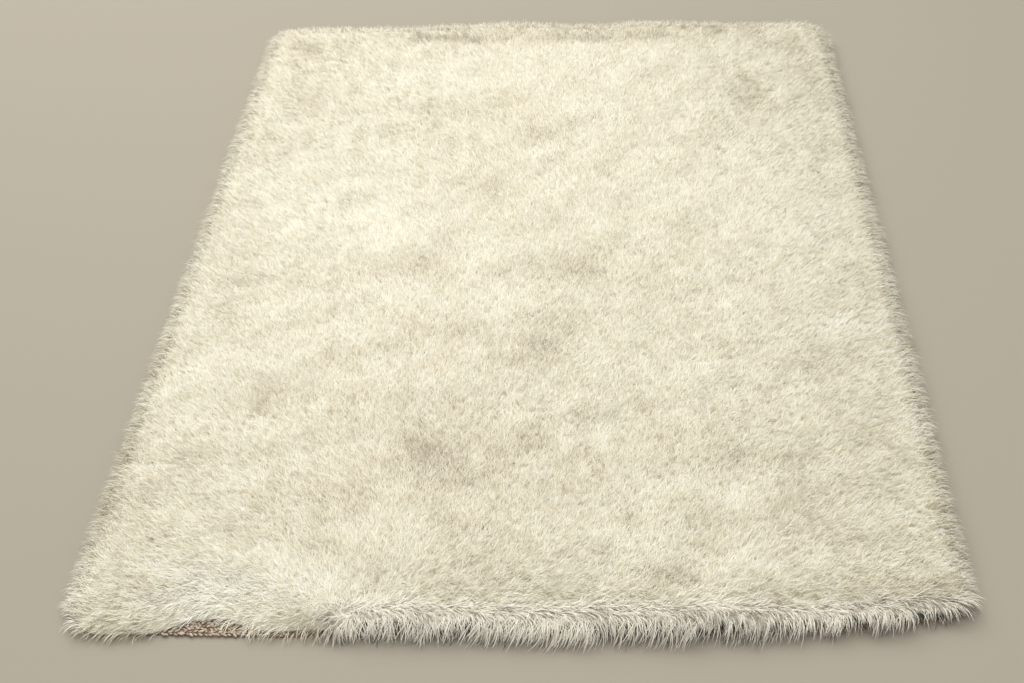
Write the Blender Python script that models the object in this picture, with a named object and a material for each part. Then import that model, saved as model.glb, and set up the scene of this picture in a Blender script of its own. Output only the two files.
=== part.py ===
"""Shag rug: a flat woven ground cloth under a deep, lumpy pile with locks hanging over its rim.

Metres. X runs across the rug, Y runs along it from the near edge to the far edge, Z is up.
The floor is z = 0, and the middle of the footprint is the origin.
"""

import math
import random

import bpy

# Ground cloth: one stout woven sheet, flat on the floor.
CLOTH_HALF_X = 0.578
CLOTH_HALF_Y = 0.828
CLOTH_THICK = 0.0025
CLOTH_CORNER = 0.042
CORNER_STEPS = 7

# Pile: its underside is just above the cloth, and its rim stands a little outside the cloth's edge.
CLEARANCE = 0.0003
RIM_OVERHANG = 0.0025
PILE_HEIGHT = 0.040
RIM_HEIGHT = 0.029
SHOULDER = 0.042
EDGE_LINES = (0.0, 0.012, 0.026, 0.043)
CELLS_ACROSS = 40
CELLS_ALONG = 60

# The underside's end zones, each this many grid lines deep.
END_LINES = 4

# The near edge: its rim stands back from the cloth's edge where the pile is combed aside.
SETBACK_REACH = 0.085
SETBACK_RIM_DROP = 0.011
SETBACK_STEEPNESS = 2.0

# Unevenness of the top: each point is a clump of tufts that stands up or lies aside by chance.
TUFT_RISE = 0.0026
TUFT_LEAN = 0.006
STILL_LINES = 3
RIM_UNEVENNESS = 0.25
SEED = 41

# Locks at the rim. One faces an end of the rug when its outward direction is mostly along Y.
FACES_END = 0.5
ELBOW_OUT = 0.58
ELBOW_SLIP = 0.42
ELBOW_WIDTH = 0.62
ELBOW_TOP = 0.74
ELBOW_FOOT = 0.20
TIP_WIDTH = 0.30
TIP_THICK = 0.0035
TIP_LIFT = 0.0045
LIFTED_LOCKS = 0.3
LOCK_LENGTH_SPREAD = 0.34
LOCK_WIDTH_SPREAD = 0.24
LOCK_SLIP_SPREAD = 0.20
SHORT_LOCK = 0.009

PILE_COLOUR = (0.78, 0.74, 0.63, 1.0)
CLOTH_COLOUR = (0.50, 0.40, 0.29, 1.0)
PILE_ROUGHNESS = 0.62
CLOTH_ROUGHNESS = 0.85

# Swells (rise above zero) and hollows (rise below zero) of the pile's top.
# x, y: middle. half_x, half_y: half sizes. rise: height at the middle.
SWELL_COLUMNS = ("x", "y", "half_x", "half_y", "rise")
SWELLS = (
    (-0.300, 0.220, 0.200, 0.160, 0.0040),
    (-0.070, -0.310, 0.090, 0.045, 0.0045),
    (0.060, -0.265, 0.075, 0.035, -0.0055),
    (-0.130, -0.490, 0.065, 0.045, -0.0065),
    (0.030, -0.490, 0.050, 0.030, -0.0045),
    (-0.380, -0.410, 0.080, 0.032, -0.0060),
    (0.095, -0.050, 0.060, 0.030, -0.0050),
    (-0.220, -0.040, 0.100, 0.028, -0.0040),
    (0.400, 0.540, 0.035, 0.040, -0.0070),
    (0.340, -0.545, 0.120, 0.024, 0.0050),
    (-0.500, -0.765, 0.050, 0.022, -0.0060),
    (-0.232, -0.775, 0.030, 0.030, -0.0090),
    (0.250, -0.730, 0.035, 0.040, -0.0080),
    (0.495, -0.200, 0.060, 0.035, 0.0040),
    (0.515, -0.030, 0.050, 0.030, -0.0040),
)

# Long furrows that run across the rug: the fold behind the near roll, and the one before the far roll.
FURROW_COLUMNS = ("y", "start_x", "end_x", "half_y", "depth")
FURROWS = (
    (-0.787, -0.215, 0.575, 0.015, 0.0075),
    (0.768, -0.360, 0.450, 0.017, 0.0085),
)
FURROW_RUN_OUT = 0.035

# Long low waves over the whole top.
WAVE_COLUMNS = ("turns_x", "turns_y", "phase", "height")
WAVES = (
    (5.2, 2.9, 0.7, 0.0011),
    (-3.1, 6.8, 2.2, 0.0012),
    (8.3, -4.6, 4.1, 0.0009),
    (1.7, 11.4, 5.3, 0.0010),
)

# Where the near rim stands back and bares the cloth.
SETBACK_COLUMNS = ("x", "half_x", "depth")
SETBACKS = (
    (-0.398, 0.066, 0.0290),
    (-0.262, 0.026, 0.0120),
)

# How far the locks reach out, and how far their tips slip along the edge.
# place: position along the edge. For the near and far edge it is X, for the sides it is Y.
# slip is towards +X on the near and far edge, and towards +Y on the sides.
LOCK_COLUMNS = ("place", "reach", "slip")
NEAR_LOCKS = (
    (-0.60, 0.0150, -0.0060),
    (-0.48, 0.0120, -0.0090),
    (-0.25, 0.0150, -0.0080),
    (-0.18, 0.0230, 0.0010),
    (0.12, 0.0235, 0.0030),
    (0.35, 0.0190, 0.0030),
    (0.50, 0.0130, 0.0040),
    (0.60, 0.0110, 0.0040),
)
FAR_LOCKS = (
    (-0.60, 0.0150, -0.0020),
    (0.00, 0.0170, 0.0010),
    (0.60, 0.0150, 0.0020),
)
LEFT_LOCKS = (
    (-0.85, 0.0150, -0.0010),
    (-0.60, 0.0160, 0.0060),
    (0.30, 0.0160, 0.0080),
    (0.85, 0.0140, 0.0040),
)
RIGHT_LOCKS = (
    (-0.85, 0.0130, 0.0000),
    (-0.50, 0.0160, 0.0050),
    (0.40, 0.0170, 0.0040),
    (0.85, 0.0150, 0.0010),
)


def clear_scene():
    for thing in list(bpy.data.objects):
        bpy.data.objects.remove(thing, do_unlink=True)


def smooth(t):
    """0 below 0, 1 above 1, and an even S between them."""
    t = min(max(t, 0.0), 1.0)
    return t * t * (3.0 - 2.0 * t)


def along_table(table, columns, name, place):
    """The value of one named column at a place, straight between the rows."""
    column = columns.index(name)
    before = table[0]
    for row in table:
        if row[0] >= place:
            span = max(row[0] - before[0], 1e-9)
            share = (place - before[0]) / span if row is not before else 0.0
            return before[column] + share * (row[column] - before[column])
        before = row
    return before[column]


def lines(half, cells):
    """Grid lines from -half to half, closer together at both edges."""
    inner = half - EDGE_LINES[-1]
    left = [-half + step for step in EDGE_LINES]
    middle = [-inner + 2.0 * inner * k / cells for k in range(1, cells)]
    return left + middle + [-place for place in reversed(left)]


def rounded(x, y, half_x, half_y, corner):
    """Moves a point of a rectangle so that its corners become round."""
    across = (abs(x) - (half_x - corner)) / corner
    along = (abs(y) - (half_y - corner)) / corner
    if across <= 0.0 or along <= 0.0:
        return x, y
    round_x = half_x - corner + corner * across * math.sqrt(1.0 - along * along / 2.0)
    round_y = half_y - corner + corner * along * math.sqrt(1.0 - across * across / 2.0)
    return math.copysign(round_x, x), math.copysign(round_y, y)


def rim_distance(x, y, half_x, half_y, corner):
    """How far a point of the rounded rectangle is inside its edge."""
    across = abs(x) - (half_x - corner)
    along = abs(y) - (half_y - corner)
    outside = math.hypot(max(across, 0.0), max(along, 0.0))
    return max(corner - outside - min(max(across, along), 0.0), 0.0)


def setback(x):
    """How far the near rim stands back at this X."""
    depth = 0.0
    for row in SETBACKS:
        part = dict(zip(SETBACK_COLUMNS, row))
        inside = 1.0 - abs(x - part["x"]) / part["half_x"]
        depth = max(depth, part["depth"] * smooth(SETBACK_STEEPNESS * inside))
    return depth


def bare_share(x):
    """0 where the near rim is full, 1 where it is combed right off the cloth."""
    return setback(x) / max(row[SETBACK_COLUMNS.index("depth")] for row in SETBACKS)


def swell_height(x, y):
    height = 0.0
    for row in SWELLS:
        part = dict(zip(SWELL_COLUMNS, row))
        across = (x - part["x"]) / part["half_x"]
        along = (y - part["y"]) / part["half_y"]
        height += part["rise"] * math.exp(-across * across - along * along)
    return height


def furrow_depth(x, y):
    depth = 0.0
    for row in FURROWS:
        part = dict(zip(FURROW_COLUMNS, row))
        run_in = smooth((x - part["start_x"]) / FURROW_RUN_OUT)
        run_out = smooth((part["end_x"] - x) / FURROW_RUN_OUT)
        away = (y - part["y"]) / part["half_y"]
        depth += part["depth"] * run_in * run_out * math.exp(-away * away)
    return depth


def wave_height(x, y):
    height = 0.0
    for row in WAVES:
        part = dict(zip(WAVE_COLUMNS, row))
        turn = part["turns_x"] * x + part["turns_y"] * y
        height += part["height"] * math.sin(2.0 * math.pi * turn + part["phase"])
    return height


def pile_top(x, y, inside):
    """Height of the pile's top, at this distance inside its rim."""
    rim = RIM_HEIGHT
    if y < 0.0:
        rim -= SETBACK_RIM_DROP * bare_share(x) * smooth(1.0 - inside / SETBACK_REACH)
    share = min(inside / SHOULDER, 1.0)
    roll = math.sqrt(1.0 - (1.0 - share) ** 2)
    uneven = swell_height(x, y) + wave_height(x, y) - furrow_depth(x, y)
    felt = smooth(RIM_UNEVENNESS + (1.0 - RIM_UNEVENNESS) * share)
    return rim + (PILE_HEIGHT - rim) * roll + uneven * felt


def pile_grid(chance):
    """Points of the pile's top: rows along Y, each with its points along X."""
    half_x = CLOTH_HALF_X + RIM_OVERHANG
    half_y = CLOTH_HALF_Y + RIM_OVERHANG
    corner = CLOTH_CORNER + RIM_OVERHANG
    lines_x = lines(half_x, CELLS_ACROSS)
    lines_y = lines(half_y, CELLS_ALONG)
    grid = []
    for j, line_y in enumerate(lines_y):
        row = []
        for i, line_x in enumerate(lines_x):
            x, y = rounded(line_x, line_y, half_x, half_y, corner)
            inside = rim_distance(x, y, half_x, half_y, corner)
            from_edge = min(i, j, len(lines_x) - 1 - i, len(lines_y) - 1 - j)
            if from_edge >= STILL_LINES:
                x += chance.uniform(-TUFT_LEAN, TUFT_LEAN)
                y += chance.uniform(-TUFT_LEAN, TUFT_LEAN)
            rise = chance.uniform(-TUFT_RISE, TUFT_RISE)
            height = pile_top(x, y, inside) + rise * smooth(from_edge / STILL_LINES)
            if y < 0.0:
                y += setback(x) * smooth(1.0 - (y + half_y) / SETBACK_REACH)
            row.append((x, y, height))
        grid.append(row)
    return grid


def rim_walk(rows, columns):
    """The grid's outermost points in turn, counter-clockwise from the near left corner."""
    near = [(0, i) for i in range(columns - 1)]
    right = [(j, columns - 1) for j in range(rows - 1)]
    far = [(rows - 1, i) for i in range(columns - 1, 0, -1)]
    left = [(j, 0) for j in range(rows - 1, 0, -1)]
    return near + right + far + left


def lock_habit(x, y, out_x, out_y):
    """Reach of a lock, and the X and Y slip of its tip, from the edge that it mostly faces."""
    near = along_table(NEAR_LOCKS, LOCK_COLUMNS, "reach", x)
    near_slip = along_table(NEAR_LOCKS, LOCK_COLUMNS, "slip", x)
    far = along_table(FAR_LOCKS, LOCK_COLUMNS, "reach", x)
    far_slip = along_table(FAR_LOCKS, LOCK_COLUMNS, "slip", x)
    side = LEFT_LOCKS if x < 0.0 else RIGHT_LOCKS
    side_reach = along_table(side, LOCK_COLUMNS, "reach", y)
    side_slip = along_table(side, LOCK_COLUMNS, "slip", y)
    end_share = out_y * out_y
    end_reach, end_slip = (near, near_slip) if y < 0.0 else (far, far_slip)
    reach = end_share * end_reach + (1.0 - end_share) * side_reach
    return reach, end_share * end_slip, (1.0 - end_share) * side_slip


def lock_section(middle, edge, width, foot, top):
    """The four corners of a cut through a lock: two at its foot, then two at its top."""
    half = width / 2.0
    start = (middle[0] - edge[0] * half, middle[1] - edge[1] * half)
    end = (middle[0] + edge[0] * half, middle[1] + edge[1] * half)
    return [(*start, foot), (*end, foot), (*end, top), (*start, top)]


def lock_cuts(start, end, underside, chance):
    """Two cuts of the lock that grows out of the rim between two neighbouring rim points."""
    pitch = math.hypot(end[0] - start[0], end[1] - start[1])
    edge = ((end[0] - start[0]) / pitch, (end[1] - start[1]) / pitch)
    out = (edge[1], -edge[0])
    root = ((start[0] + end[0]) / 2.0, (start[1] + end[1]) / 2.0)
    root_top = (start[2] + end[2]) / 2.0
    reach, slip_x, slip_y = lock_habit(root[0], root[1], out[0], out[1])
    reach *= 1.0 + chance.uniform(-LOCK_LENGTH_SPREAD, LOCK_LENGTH_SPREAD)
    wander = pitch * chance.uniform(-LOCK_SLIP_SPREAD, LOCK_SLIP_SPREAD)
    breadth = pitch * (1.0 + chance.uniform(-LOCK_WIDTH_SPREAD, LOCK_WIDTH_SPREAD))
    lifted = chance.random() < LIFTED_LOCKS
    foot = TIP_LIFT if lifted else 0.0
    elbow_foot = ELBOW_FOOT * root_top + foot
    held_back = root[1] < 0.0 and abs(out[1]) > FACES_END and setback(root[0]) > 0.0
    if held_back:
        reach = SHORT_LOCK + (reach - SHORT_LOCK) * (1.0 - bare_share(root[0]))
        foot, elbow_foot = underside, max(underside, elbow_foot)
        breadth = pitch
    slip = (slip_x + edge[0] * wander, slip_y + edge[1] * wander)
    elbow = [root[k] + ELBOW_OUT * reach * out[k] + ELBOW_SLIP * slip[k] for k in (0, 1)]
    tip = [root[k] + reach * out[k] + slip[k] for k in (0, 1)]
    return (
        lock_section(elbow, edge, ELBOW_WIDTH * breadth, elbow_foot, ELBOW_TOP * root_top),
        lock_section(tip, edge, TIP_WIDTH * breadth, foot, foot + TIP_THICK),
    )


def add_top(faces, rows, columns):
    for j in range(rows - 1):
        for i in range(columns - 1):
            first = j * columns + i
            faces.append((first, first + 1, first + columns + 1, first + columns))


def add_end_zone(points, faces, foot, end_row, inner_row, columns):
    """The underside from one end's rim to a straight line of new points across the rug."""
    last = columns - 1
    line = [foot[inner_row, 0]]
    for i in range(1, last):
        line.append(len(points))
        x, _, z = points[foot[end_row, i]]
        points.append((x, points[line[0]][1], z))
    line.append(foot[inner_row, last])
    zone = []
    for i in range(1, last - 1):
        zone.append((foot[end_row, i], line[i], line[i + 1], foot[end_row, i + 1]))
    step = 1 if inner_row > end_row else -1
    for j in range(end_row, inner_row, step):
        zone.append((foot[j, 0], foot[j + step, 0], line[1]))
        zone.append((foot[j, last], line[last - 1], foot[j + step, last]))
    zone.append((foot[end_row, 0], line[1], foot[end_row, 1]))
    zone.append((foot[end_row, last - 1], line[last - 1], foot[end_row, last]))
    faces.extend(zone if step > 0 else [tuple(reversed(face)) for face in zone])
    return line


def add_fan(faces, line, left, right, flip):
    """From a line of points across the rug to one point on each side of the next line."""
    middle = len(line) // 2
    fan = [(line[i], left, line[i + 1]) for i in range(middle)]
    fan += [(line[i], right, line[i + 1]) for i in range(middle, len(line) - 1)]
    fan.append((line[middle], left, right))
    faces.extend([tuple(reversed(face)) for face in fan] if flip else fan)


def add_underside(points, faces, foot, rows, columns):
    """Two end zones, a fan inside each, and long flat strips across the rug between them."""
    last_row, last_column = rows - 1, columns - 1
    near, far = END_LINES, last_row - END_LINES
    near_line = add_end_zone(points, faces, foot, 0, near, columns)
    far_line = add_end_zone(points, faces, foot, last_row, far, columns)
    add_fan(faces, near_line, foot[near + 1, 0], foot[near + 1, last_column], False)
    add_fan(faces, far_line, foot[far - 1, 0], foot[far - 1, last_column], True)
    for j in range(near + 1, far - 1):
        near_left, near_right = foot[j, 0], foot[j, last_column]
        far_left, far_right = foot[j + 1, 0], foot[j + 1, last_column]
        faces.append((near_left, far_left, far_right, near_right))


def add_lock(points, faces, root, cuts):
    """Four-sided walls from the root to each cut, and a cap on the last."""
    for cut in cuts:
        first = len(points)
        points.extend(cut)
        ring = [first + k for k in range(4)]
        for k in range(4):
            after = (k + 1) % 4
            faces.append((root[k], root[after], ring[after], ring[k]))
        root = ring
    faces.append(tuple(root))


def pile_mesh():
    """The lumpy slab and its locks, as one closed surface."""
    chance = random.Random(SEED)
    grid = pile_grid(chance)
    rows, columns = len(grid), len(grid[0])
    underside = CLOTH_THICK + CLEARANCE
    points = [point for row in grid for point in row]
    faces = []
    add_top(faces, rows, columns)
    walk = rim_walk(rows, columns)
    foot = {}
    for j, i in walk:
        x, y, _ = grid[j][i]
        foot[j, i] = len(points)
        points.append((x, y, underside))
    add_underside(points, faces, foot, rows, columns)
    for here, after in zip(walk, walk[1:] + walk[:1]):
        top_here = here[0] * columns + here[1]
        top_after = after[0] * columns + after[1]
        root = [foot[here], foot[after], top_after, top_here]
        cuts = lock_cuts(grid[here[0]][here[1]], grid[after[0]][after[1]], underside, chance)
        add_lock(points, faces, root, cuts)
    return points, faces


def cloth_outline():
    """The cloth's edge, counter-clockwise, with round corners."""
    outline = []
    for turn, (side_x, side_y) in enumerate(((1, 1), (-1, 1), (-1, -1), (1, -1))):
        centre_x = side_x * (CLOTH_HALF_X - CLOTH_CORNER)
        centre_y = side_y * (CLOTH_HALF_Y - CLOTH_CORNER)
        for step in range(CORNER_STEPS + 1):
            angle = math.pi / 2.0 * (turn + step / CORNER_STEPS)
            x = centre_x + CLOTH_CORNER * math.cos(angle)
            y = centre_y + CLOTH_CORNER * math.sin(angle)
            outline.append((x, y))
    return outline


def cloth_mesh():
    outline = cloth_outline()
    count = len(outline)
    points = [(x, y, 0.0) for x, y in outline]
    points += [(x, y, CLOTH_THICK) for x, y in outline]
    faces = [tuple(reversed(range(count))), tuple(range(count, 2 * count))]
    for k in range(count):
        after = (k + 1) % count
        faces.append((k, after, count + after, count + k))
    return points, faces


def material(name, colour, roughness):
    made = bpy.data.materials.new(name)
    made.use_nodes = True
    surface = made.node_tree.nodes["Principled BSDF"]
    surface.inputs["Base Color"].default_value = colour
    surface.inputs["Roughness"].default_value = roughness
    surface.inputs["Metallic"].default_value = 0.0
    made.diffuse_color = colour
    return made


def footprint_middle(shapes):
    """Middle, in X and Y, of the box round all the points."""
    spots = [point for points, _ in shapes for point in points]
    middle = []
    for axis in (0, 1):
        values = [spot[axis] for spot in spots]
        middle.append((min(values) + max(values)) / 2.0)
    return middle


def add_object(name, shape, middle, look, soft):
    points, faces = shape
    placed = [(x - middle[0], y - middle[1], z) for x, y, z in points]
    mesh = bpy.data.meshes.new(name)
    mesh.from_pydata(placed, [], faces)
    mesh.materials.append(look)
    for face in mesh.polygons:
        face.use_smooth = soft
    mesh.update()
    made = bpy.data.objects.new(name, mesh)
    bpy.context.scene.collection.objects.link(made)


def main():
    clear_scene()
    cloth, pile = cloth_mesh(), pile_mesh()
    middle = footprint_middle((cloth, pile))
    cloth_look = material("ground_cloth", CLOTH_COLOUR, CLOTH_ROUGHNESS)
    pile_look = material("pile", PILE_COLOUR, PILE_ROUGHNESS)
    add_object("ground_cloth", cloth, middle, cloth_look, False)
    add_object("pile", pile, middle, pile_look, True)


main()
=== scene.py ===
"""A cream shag rug on a pale floor: its ground cloth, the dense bed of its pile and the strands themselves.

Metres. X runs across the rug, Y along it away from the camera, Z is up, and the floor is z = 0.
"""

import math

import bpy
import numpy as np
from mathutils import Matrix, Vector, noise
from mathutils.bvhtree import BVHTree


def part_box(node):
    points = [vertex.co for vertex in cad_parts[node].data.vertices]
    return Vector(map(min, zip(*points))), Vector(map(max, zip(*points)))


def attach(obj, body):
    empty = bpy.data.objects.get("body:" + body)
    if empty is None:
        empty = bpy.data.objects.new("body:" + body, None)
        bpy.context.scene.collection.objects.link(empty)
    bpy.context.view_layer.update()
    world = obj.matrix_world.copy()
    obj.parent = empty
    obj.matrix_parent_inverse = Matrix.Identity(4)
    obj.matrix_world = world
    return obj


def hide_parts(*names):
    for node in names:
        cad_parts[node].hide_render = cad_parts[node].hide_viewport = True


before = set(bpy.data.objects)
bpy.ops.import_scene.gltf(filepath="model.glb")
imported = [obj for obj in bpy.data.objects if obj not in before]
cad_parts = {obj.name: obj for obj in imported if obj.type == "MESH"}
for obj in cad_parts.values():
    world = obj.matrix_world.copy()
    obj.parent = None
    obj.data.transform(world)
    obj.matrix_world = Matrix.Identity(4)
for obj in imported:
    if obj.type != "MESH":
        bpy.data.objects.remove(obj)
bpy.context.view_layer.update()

# Places that come from the solids.
CLOTH_LOW, CLOTH_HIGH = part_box("ground_cloth")
CLOTH_MIDDLE = (CLOTH_LOW + CLOTH_HIGH) / 2.0
CLOTH_HALF_X = (CLOTH_HIGH.x - CLOTH_LOW.x) / 2.0
CLOTH_HALF_Y = (CLOTH_HIGH.y - CLOTH_LOW.y) / 2.0
CLOTH_TOP = CLOTH_HIGH.z

# The bed: the felted lower part of the pile, out of which the strands stand.
BED_DEPTH = 0.0105
BED_DEPTH_AT_RIM = 0.013
BED_SINKS_OVER = 0.035
BED_INSET = 0.0015
BED_CORNER = 0.036
BED_PITCH = 0.0135
BED_FOOT = 0.0034
BED_LEAST = 0.006
WALL_STEPS = (0.5, 1.0)
WALL_HEIGHT = 0.022

# Painted shade on the bed: how light it shows between the strands at the rim and on the wall, where the field
# has 1.
BED_RIM_OPEN = 0.8
BED_WALL_OPEN = 0.6
TRODDEN_WALL_OPEN = 0.6
BED_OPENS_OVER = 0.020

# How far the near rim of the pile stands back from the cloth's edge. It bares the cloth near the left-hand
# corner. Below zero it comes forward.
NEAR_EDGE_COLUMNS = ("x", "back")
NEAR_EDGE = (
    (-0.59, -0.009),
    (-0.52, -0.010),
    (-0.465, -0.008),
    (-0.443, 0.004),
    (-0.420, 0.015),
    (-0.39, 0.018),
    (-0.37, 0.014),
    (-0.35, 0.006),
    (-0.33, -0.002),
    (-0.30, -0.003),
    (-0.27, 0.000),
    (-0.24, 0.000),
    (0.16, 0.000),
    (0.30, 0.007),
    (0.40, 0.012),
    (0.48, 0.021),
    (0.54, 0.029),
    (0.59, 0.032),
)
SETBACK_REACH = 0.085

# How far the far rim bulges out over the cloth's edge, and how much it rises there.
FAR_EDGE_COLUMNS = ("x", "out")
FAR_EDGE = (
    (-0.57, -0.002),
    (-0.38, 0.002),
    (-0.21, 0.010),
    (-0.12, 0.018),
    (-0.04, 0.019),
    (0.05, 0.010),
    (0.13, 0.010),
    (0.22, 0.019),
    (0.30, 0.014),
    (0.39, 0.010),
    (0.47, 0.006),
    (0.57, -0.004),
)
BULGE_REACH = 0.055
BULGE_LIFT = 0.008

# The near rim hangs in locks. The gaps between them stand further back, are thinner and take painted shade.
SCALLOP = 0.009
SCALLOPS_PER_METRE = 22.0
SCALLOP_SEED = 26.91
LOCK_PAINTED_SHADE = 1.1
LOCK_THICKNESS = 0.9
LOCK_AT_CREST = 0.5
HANGING_BEGINS_OVER = 0.05

# Near the left-hand corner the pile is trodden flat, and slopes down to the near edge.
TRODDEN_END = -0.235
TRODDEN_COLUMNS = ("x", "reach")
TRODDEN = ((-0.62, 0.050), (-0.52, 0.100), (-0.33, 0.110), (-0.28, 0.055), (TRODDEN_END, 0.002))
TRODDEN_LEAST = 0.007
TRODDEN_RISE = 0.029
TRODDEN_CURVE = 0.8
TRODDEN_SPREAD = 1.2

# The bed is softer than the solid's top, has small lumps of its own and sinks where it is grey.
SOFTENING = 9
RIM_KEPT = 0.060
LUMP_RISE = 0.0035
HOLLOW = 0.010
LUMPS_PER_METRE = 17.0
LUMP_SEED = 0.5
LUMP_FALLOFF = 0.8
LUMP_FINENESS = 2.0
LUMP_OCTAVES = 3

# How far the pile's surface turns outward at the rim and down its wall.
RIM_TILT = 0.5
SIDE_TILT = 0.2
RIM_TILT_REACH = 0.016
RIM_SQUARENESS = 24
WALL_TILT = 0.6

# How the pile lies: where the tips point at each place, in degrees, 0 to the right and 90 away.
COMB_X = (-0.52, -0.40, -0.28, -0.16, -0.04, 0.08, 0.20, 0.32, 0.44, 0.54)
COMB_COLUMNS = ("y", "headings")
COMB = (
    (-0.80, (188, 184, 168, -6, -16, -18, -16, -18, -20, -24)),
    (-0.755, (186, 182, 140, 52, 18, 10, 36, 22, 2, -10)),
    (-0.68, (184, 176, 126, 68, 48, 42, 80, 46, 10, -8)),
    (-0.60, (174, 166, 140, 84, 70, 62, 58, 38, 20, -4)),
    (-0.48, (168, 154, 116, 94, 80, 68, 62, 34, 14, -4)),
    (-0.32, (156, 122, 96, 76, 60, 54, 56, 36, 14, -4)),
    (-0.08, (162, 148, 116, 92, 84, 72, 80, 50, 12, -4)),
    (0.20, (174, 166, 158, 140, 120, 96, 80, 56, 14, -6)),
    (0.46, (178, 174, 168, 152, 128, 88, 60, 32, 12, -6)),
    (0.72, (178, 172, 162, 140, 96, 70, 52, 26, 6, -8)),
)

# How strands fall over the near rim, along X: where their roots and tips point, how long they are, how
# steeply they rise at the root and fall at the tip, and how much painted shade greys them on the wall.
NEAR_FALL_COLUMNS = ("x", "root_heading", "tip_heading", "length", "rise", "fall", "wall_painted_shade")
NEAR_FALL = (
    (-0.60, 190, 208, 0.020, 26, -40, 0.40),
    (-0.49, 192, 212, 0.020, 24, -40, 0.40),
    (-0.455, 192, 208, 0.020, 24, -36, 0.40),
    (-0.43, 190, 208, 0.020, 22, -28, 0.40),
    (-0.38, 190, 210, 0.020, 22, -30, 0.40),
    (-0.335, 196, 216, 0.022, 24, -36, 0.40),
    (-0.295, 204, 226, 0.025, 30, -50, 0.50),
    (-0.265, 238, 250, 0.028, 32, -78, 0.56),
    (-0.225, 262, 262, 0.030, 30, -84, 0.58),
    (-0.08, 296, 266, 0.030, 30, -86, 0.60),
    (0.08, 316, 270, 0.030, 30, -86, 0.68),
    (0.20, 326, 275, 0.029, 30, -86, 0.76),
    (0.34, 334, 281, 0.025, 30, -84, 0.88),
    (0.46, 340, 287, 0.0215, 28, -82, 1.00),
    (0.56, 340, 296, 0.018, 28, -78, 1.00),
    (0.60, 340, 305, 0.017, 28, -74, 1.00),
)

# At the other rims strands point outwards, less so further in.
SIDE_COLUMNS = ("side", "heading", "hold")
SIDES = (("left", 152.0, 0.022), ("right", 14.0, 0.022), ("far", 90.0, 0.022))
SIDE_LENGTH = 0.026
RIM_HOLD = 0.040
COMB_LEAST = 0.12

# The near rim's own hold, and the strands of the wall.
NEAR_HOLD = 0.009
NEAR_REACH = 0.016
WALL_RISE = -12.0
WALL_FALL = -82.0
WALL_LENGTH = 0.98
WALL_THICKNESS = 0.46
NEAR_WALL_THICKNESS = 0.15
NEAR_THICKNESS = 0.60

# Above the near rim, and more so where it is trodden, the pile lies lower and its strands show longer.
LOW_REACH = 0.085
LOW_RISE = 34.0
LOW_FALL = -6.0
LOW_LENGTH = 0.018

# How freely strands turn from the common lay: most in the field, least where they were last stroked.
WILD_LEAST = 0.8
WILD_SIDE = (0.34, 0.12)
WILD_NEAR = (-0.42, 0.28)
STILL_AT_NEAR = 0.8
WILD_WALL = 1.2
WILD_RIM = 1.1
WHORL = (-0.215, -0.795)
WHORL_REACH = 0.055
WHORL_WILD = 0.6

# Blotches are plainest near the hanging rim.
BLOTCH_LEAST = 0.62
BLOTCH_MIDDLE = (0.10, -0.60)
BLOTCH_HALF = (0.60, 0.42)
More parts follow.
